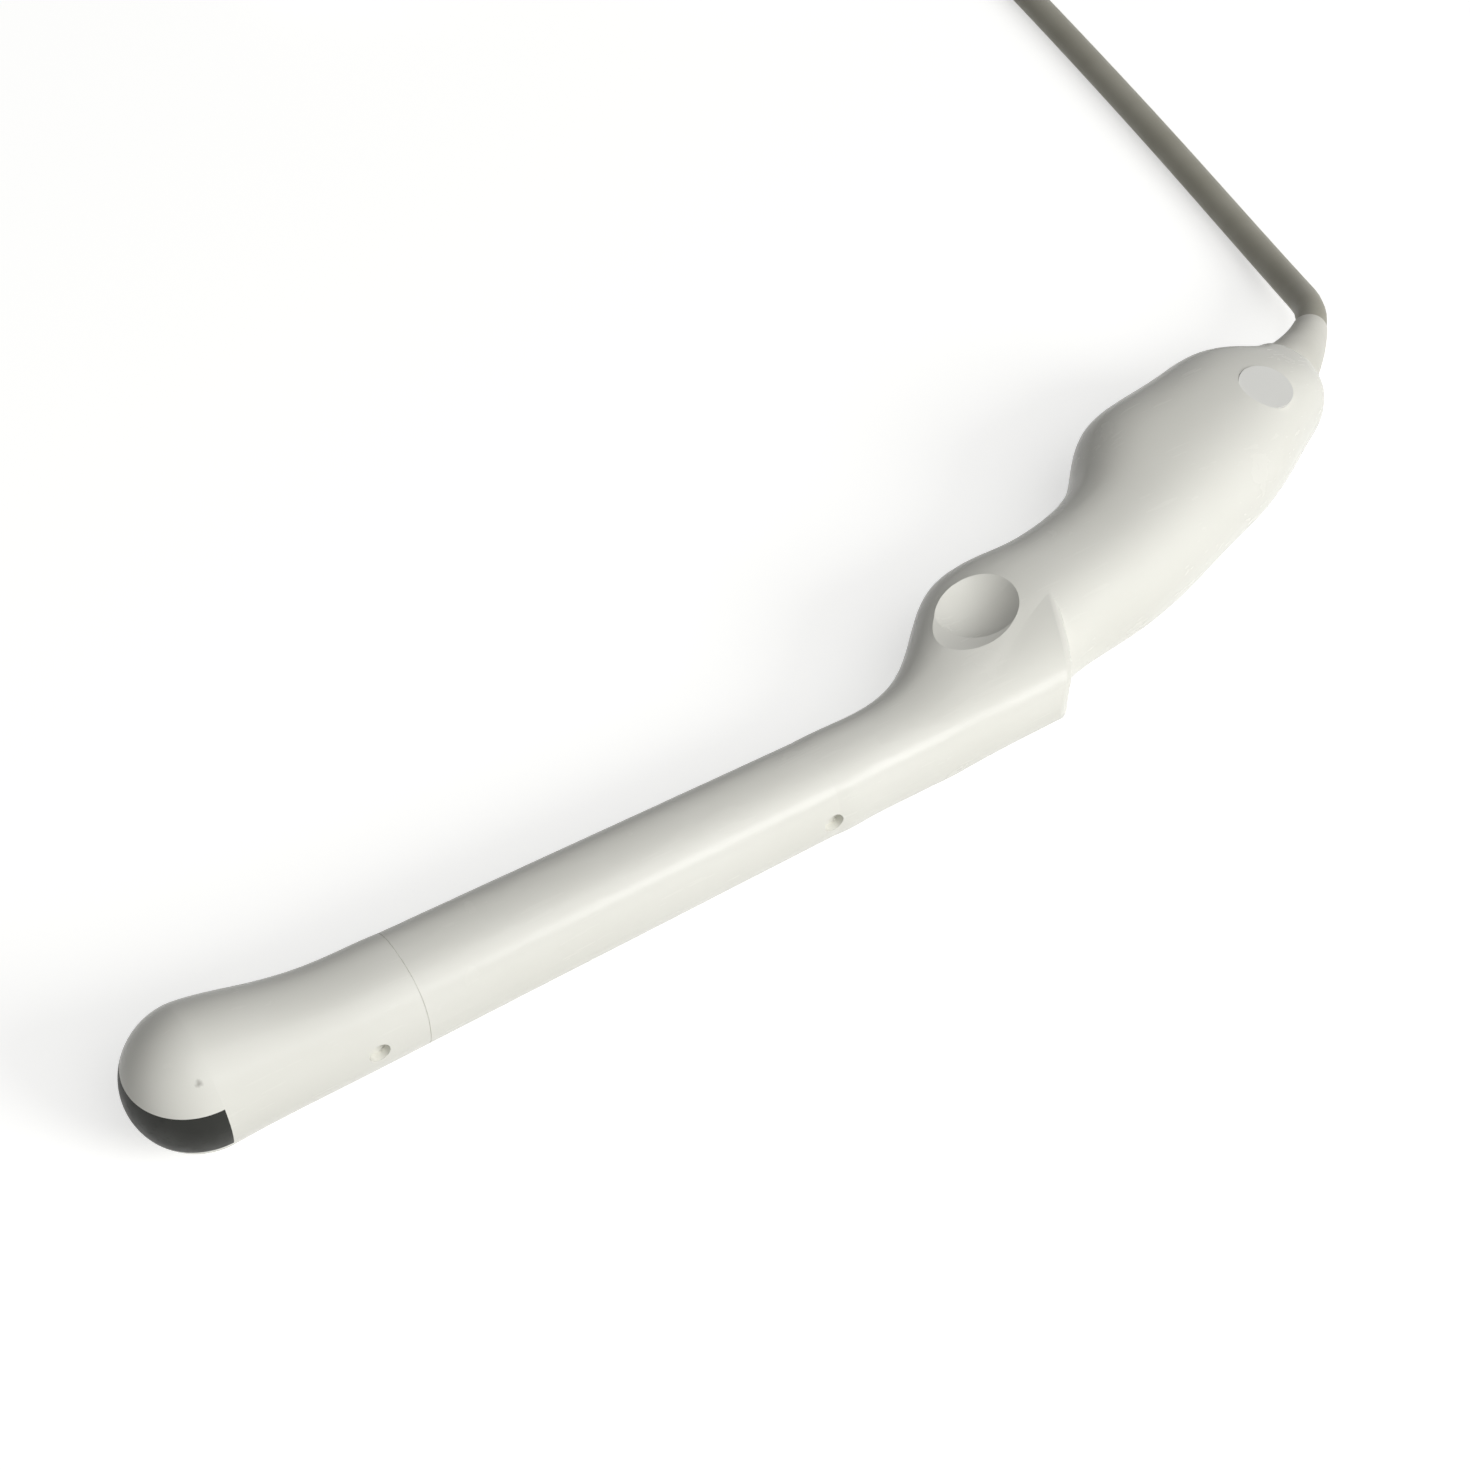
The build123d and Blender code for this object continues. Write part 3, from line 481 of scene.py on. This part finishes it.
piezo = {
    "name": "piezoCeramic",
    "colour": (0.42, 0.38, 0.28),
    "shade": (0.36, 0.32, 0.24),
    "lineColour": (0.06, 0.06, 0.06),
    "pitch": 900.0,
    "across": "Y",
    "stray": 0.0,
    "edge": (0.10, 0.25),
    "cloud": 300.0,
    "roughness": (0.4, 0.55),
    "depth": 0.00005,
}
dress(linedFinish(piezo), "piezo_array")
flex = {
    "name": "flexFilm",
    "colour": (0.46, 0.21, 0.05),
    "shade": (0.40, 0.17, 0.04),
    "lineColour": (0.50, 0.26, 0.13),
    "pitch": 700.0,
    "across": "Y",
    "stray": 0.0,
    "edge": (0.35, 0.55),
    "cloud": 120.0,
    "roughness": (0.25, 0.4),
    "depth": 0.00003,
}
dress(linedFinish(flex), "flex_upper", "flex_lower")
wires = {
    "name": "coaxJackets",
    "colour": (0.30, 0.10, 0.06),
    "shade": (0.42, 0.30, 0.12),
    "lineColour": (0.03, 0.02, 0.02),
    "pitch": 420.0,
    "across": "Z",
    "stray": 1.5,
    "edge": (0.08, 0.5),
    "cloud": 500.0,
    "roughness": (0.3, 0.5),
    "depth": 0.0003,
}
dress(linedFinish(wires), "coax_bundle")


woven = {
    "fuzzDetail": 4.0,
    "fuzzSpread": (0.3, 0.7),
    "threadSpread": (0.1, 0.9),
    "bump": 0.7,
}


def wovenFinish(f):
    # two crossed sets of ribs, one over the other
    paint, tree, shader, place = newPaint(f["name"])
    warp = bandsOf(tree, place, f["pitch"], f["warp"], f["stray"])
    weft = bandsOf(tree, place, f["pitch"], f["weft"], f["stray"])
    weave = mathOf(tree, warp, weft, "MULTIPLY")
    fuzz = grainOf(tree, place, f["fuzz"], woven["fuzzDetail"])
    height = mathOf(tree, weave, rangeOf(tree, fuzz, *woven["fuzzSpread"], 0.0, f["fuzzLift"]))
    thread = rangeOf(tree, height, *woven["threadSpread"], 0.0, 1.0)
    gloss = rangeOf(tree, fuzz, *woven["fuzzSpread"], *f["roughness"])
    tree.links.new(blendOf(tree, thread, f["shade"], f["colour"]), shader.inputs["Base Color"])
    tree.links.new(gloss, shader.inputs["Roughness"])
    tree.links.new(bumpOf(tree, height, f["depth"], woven["bump"]), shader.inputs["Normal"])
    shader.inputs["Sheen Weight"].default_value = f["sheen"]
    return paint


strap = {
    "name": "tieStrap",
    "colour": (0.055, 0.056, 0.060),
    "shade": (0.020, 0.020, 0.022),
    "pitch": 420.0,
    "warp": "X",
    "weft": "Z",
    "stray": 0.6,
    "fuzz": 1500.0,
    "fuzzLift": 0.5,
    "depth": 0.0003,
    "roughness": (0.75, 0.95),
    "sheen": 0.25,
}
dress(wovenFinish(strap), "coil_tie")
laminate = {
    "name": "boardLaminate",
    "colour": (0.035, 0.17, 0.075),
    "shade": (0.025, 0.12, 0.055),
    "pitch": 380.0,
    "warp": "X",
    "weft": "Y",
    "stray": 0.2,
    "fuzz": 500.0,
    "fuzzLift": 0.3,
    "depth": 0.00004,
    "roughness": (0.3, 0.45),
    "sheen": 0.0,
}
dress(wovenFinish(laminate), "termination_board", "plug_board")


metal = {
    "lineDetail": 3.0,
    "lineSpread": (0.3, 0.7),
    "dullDetail": 4.0,
    "dullColourSpread": (0.35, 0.7),
    "dullGlossSpread": (0.4, 0.75),
    "bump": 0.3,
}


def metalFinish(f):
    # drawn or stamped metal: fine lines one way and dull patches
    paint, tree, shader, place = newPaint(f["name"])
    drawn = grainOf(tree, place, f["lines"], metal["lineDetail"], f["stretch"])
    dull = grainOf(tree, place, f["dull"], metal["dullDetail"])
    patches = rangeOf(tree, dull, *metal["dullColourSpread"], 0.0, 1.0)
    colour = blendOf(tree, patches, f["colour"], f["shade"])
    gloss = rangeOf(tree, drawn, *metal["lineSpread"], *f["roughness"])
    dimmed = rangeOf(tree, dull, *metal["dullGlossSpread"], 0.0, f["dulling"])
    rough = mathOf(tree, gloss, dimmed)
    tree.links.new(colour, shader.inputs["Base Color"])
    tree.links.new(rough, shader.inputs["Roughness"])
    tree.links.new(bumpOf(tree, drawn, f["depth"], metal["bump"]), shader.inputs["Normal"])
    shader.inputs["Metallic"].default_value = 1.0
    return paint


shroud = {
    "name": "shroudSteel",
    "colour": (0.60, 0.60, 0.61),
    "shade": (0.50, 0.50, 0.50),
    "lines": 1400.0,
    "stretch": (0.05, 1.0, 1.0),
    "dull": 130.0,
    "roughness": (0.22, 0.36),
    "dulling": 0.12,
    "depth": 0.00003,
}
dress(metalFinish(shroud), "plug_shroud")
screw = {
    "name": "screwSteel",
    "colour": (0.56, 0.55, 0.54),
    "shade": (0.44, 0.43, 0.42),
    "lines": 1800.0,
    "stretch": (1.0, 1.0, 0.1),
    "dull": 300.0,
    "roughness": (0.26, 0.42),
    "dulling": 0.1,
    "depth": 0.00003,
}
dress(metalFinish(screw), "clamp_screw_near", "clamp_screw_far")
contact = {
    "name": "contactGold",
    "colour": (0.86, 0.62, 0.24),
    "shade": (0.72, 0.48, 0.17),
    "lines": 2600.0,
    "stretch": (0.04, 1.0, 1.0),
    "dull": 420.0,
    "roughness": (0.18, 0.3),
    "dulling": 0.12,
    "depth": 0.00002,
}
dress(metalFinish(contact), "contact_row_upper", "contact_row_lower")
print("lined, woven and metal finishes set")

# the whole cable: out of the relief, over the table, round its coil and into the plug
cableRun = {
    "diameter": 0.007,
    "exit": (0.13589, 0.02010, 0.01441),
    "route": (
        (0.13589, 0.02010, 0.01441),
        (0.155761, 0.027035, 0.01501),
        (0.17239, 0.05970, 0.0035),
        (0.18729, 0.12710, 0.0035),
        (0.20219, 0.20370, 0.0035),
        (0.209464, 0.249628, 0.0035),
    ),
    "coilCentre": (0.165761, 0.286923),
    "turnRadii": (0.049, 0.042, 0.035, 0.028, 0.028, 0.035, 0.042, 0.049),
    "turnHeights": (0.0035, 0.0035, 0.0035, 0.0035, 0.0105, 0.0105, 0.0105, 0.0105),
    "entryAngle": -9.0,
    "exitAngle": 90.0,
    "fullTurns": 7,
    "pointsPerTurn": 12,
    "shiftFrom": 0.55,
    "shiftOver": 0.25,
    "climbFrom": 0.8,
    "climbOver": 0.2,
    "tail": ((0.13576, 0.33592, 0.0105), (0.102, 0.33592, 0.0105)),
    "length": 2.05,
    "aroundSteps": 6,
    "alongSteps": 10,
}
# cable jacket: the cable's own warm grey hue, set much darker than its real pale grey (the
# boot's) as a painted shade for the shade on its side away from the key lamp
jacket = {
    "name": "cableJacket",
    "colour": (0.40, 0.388, 0.328),
    "shade": (0.35, 0.338, 0.28),
    "cloud": 55.0,
    "marks": 800.0,
    "roughness": (0.40, 0.54),
    "wear": 0.10,
    "skin": 1600.0,
    "skinDepth": 0.00008,
    "skinStrength": 0.14,
    "ior": 1.33,
}


def easeInOut(x):
    x = min(max(x, 0.0), 1.0)
    return x * x * (3 - 2 * x)


def coilPoints(c):
    # each turn keeps its radius and height, then eases over to those of the next
    sweep = c["exitAngle"] - c["entryAngle"] + 360.0 * c["fullTurns"]
    count = math.ceil(sweep / 360.0 * c["pointsPerTurn"])
    # an order 3 line runs inside its points, so they are set this much further out
    pull = 0.75 + 0.25 * math.cos(math.radians(sweep / count))
    last = len(c["turnRadii"]) - 1
    points = []
    for k in range(count + 1):
        turned = sweep * k / count
        lap = min(int(turned // 360.0), last)
        nextLap = min(lap + 1, last)
        share = turned / 360.0 - lap
        shift = easeInOut((share - c["shiftFrom"]) / c["shiftOver"])
        climb = easeInOut((share - c["climbFrom"]) / c["climbOver"])
        radius = c["turnRadii"][lap] * (1 - shift) + c["turnRadii"][nextLap] * shift
        height = c["turnHeights"][lap] * (1 - climb) + c["turnHeights"][nextLap] * climb
        angle = math.radians(c["entryAngle"] + turned)
        points.append((
            c["coilCentre"][0] + radius / pull * math.cos(angle),
            c["coilCentre"][1] + radius / pull * math.sin(angle),
            height,
        ))
    return points


def makeCable(c, paint):
    data = bpy.data.curves.new("cableCord", "CURVE")
    data.dimensions = "3D"
    data.bevel_depth = c["diameter"] / 2
    data.bevel_resolution = c["aroundSteps"]
    data.resolution_u = c["alongSteps"]
    data.use_fill_caps = True
    spline = data.splines.new("NURBS")
    points = list(c["route"]) + coilPoints(c) + list(c["tail"])
    spline.points.add(len(points) - 1)
    for spot, place in zip(spline.points, points):
        spot.co = (*place, 1.0)
    spline.order_u = 3  # after the points, or the line stays straight between them
    spline.use_endpoint_u = True
    cord = bpy.data.objects.new("cableCord", data)
    scene.collection.objects.link(cord)
    data.materials.append(paint)
    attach(cord, "root")
    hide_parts("cable", "cable_coil", "cable_tail")
    return cord


cableJacket = mouldedFinish(jacket)[0]
dress(cableJacket, "cable", "cable_coil", "cable_tail")
cableCord = makeCable(cableRun, cableJacket)
print("cable laid")
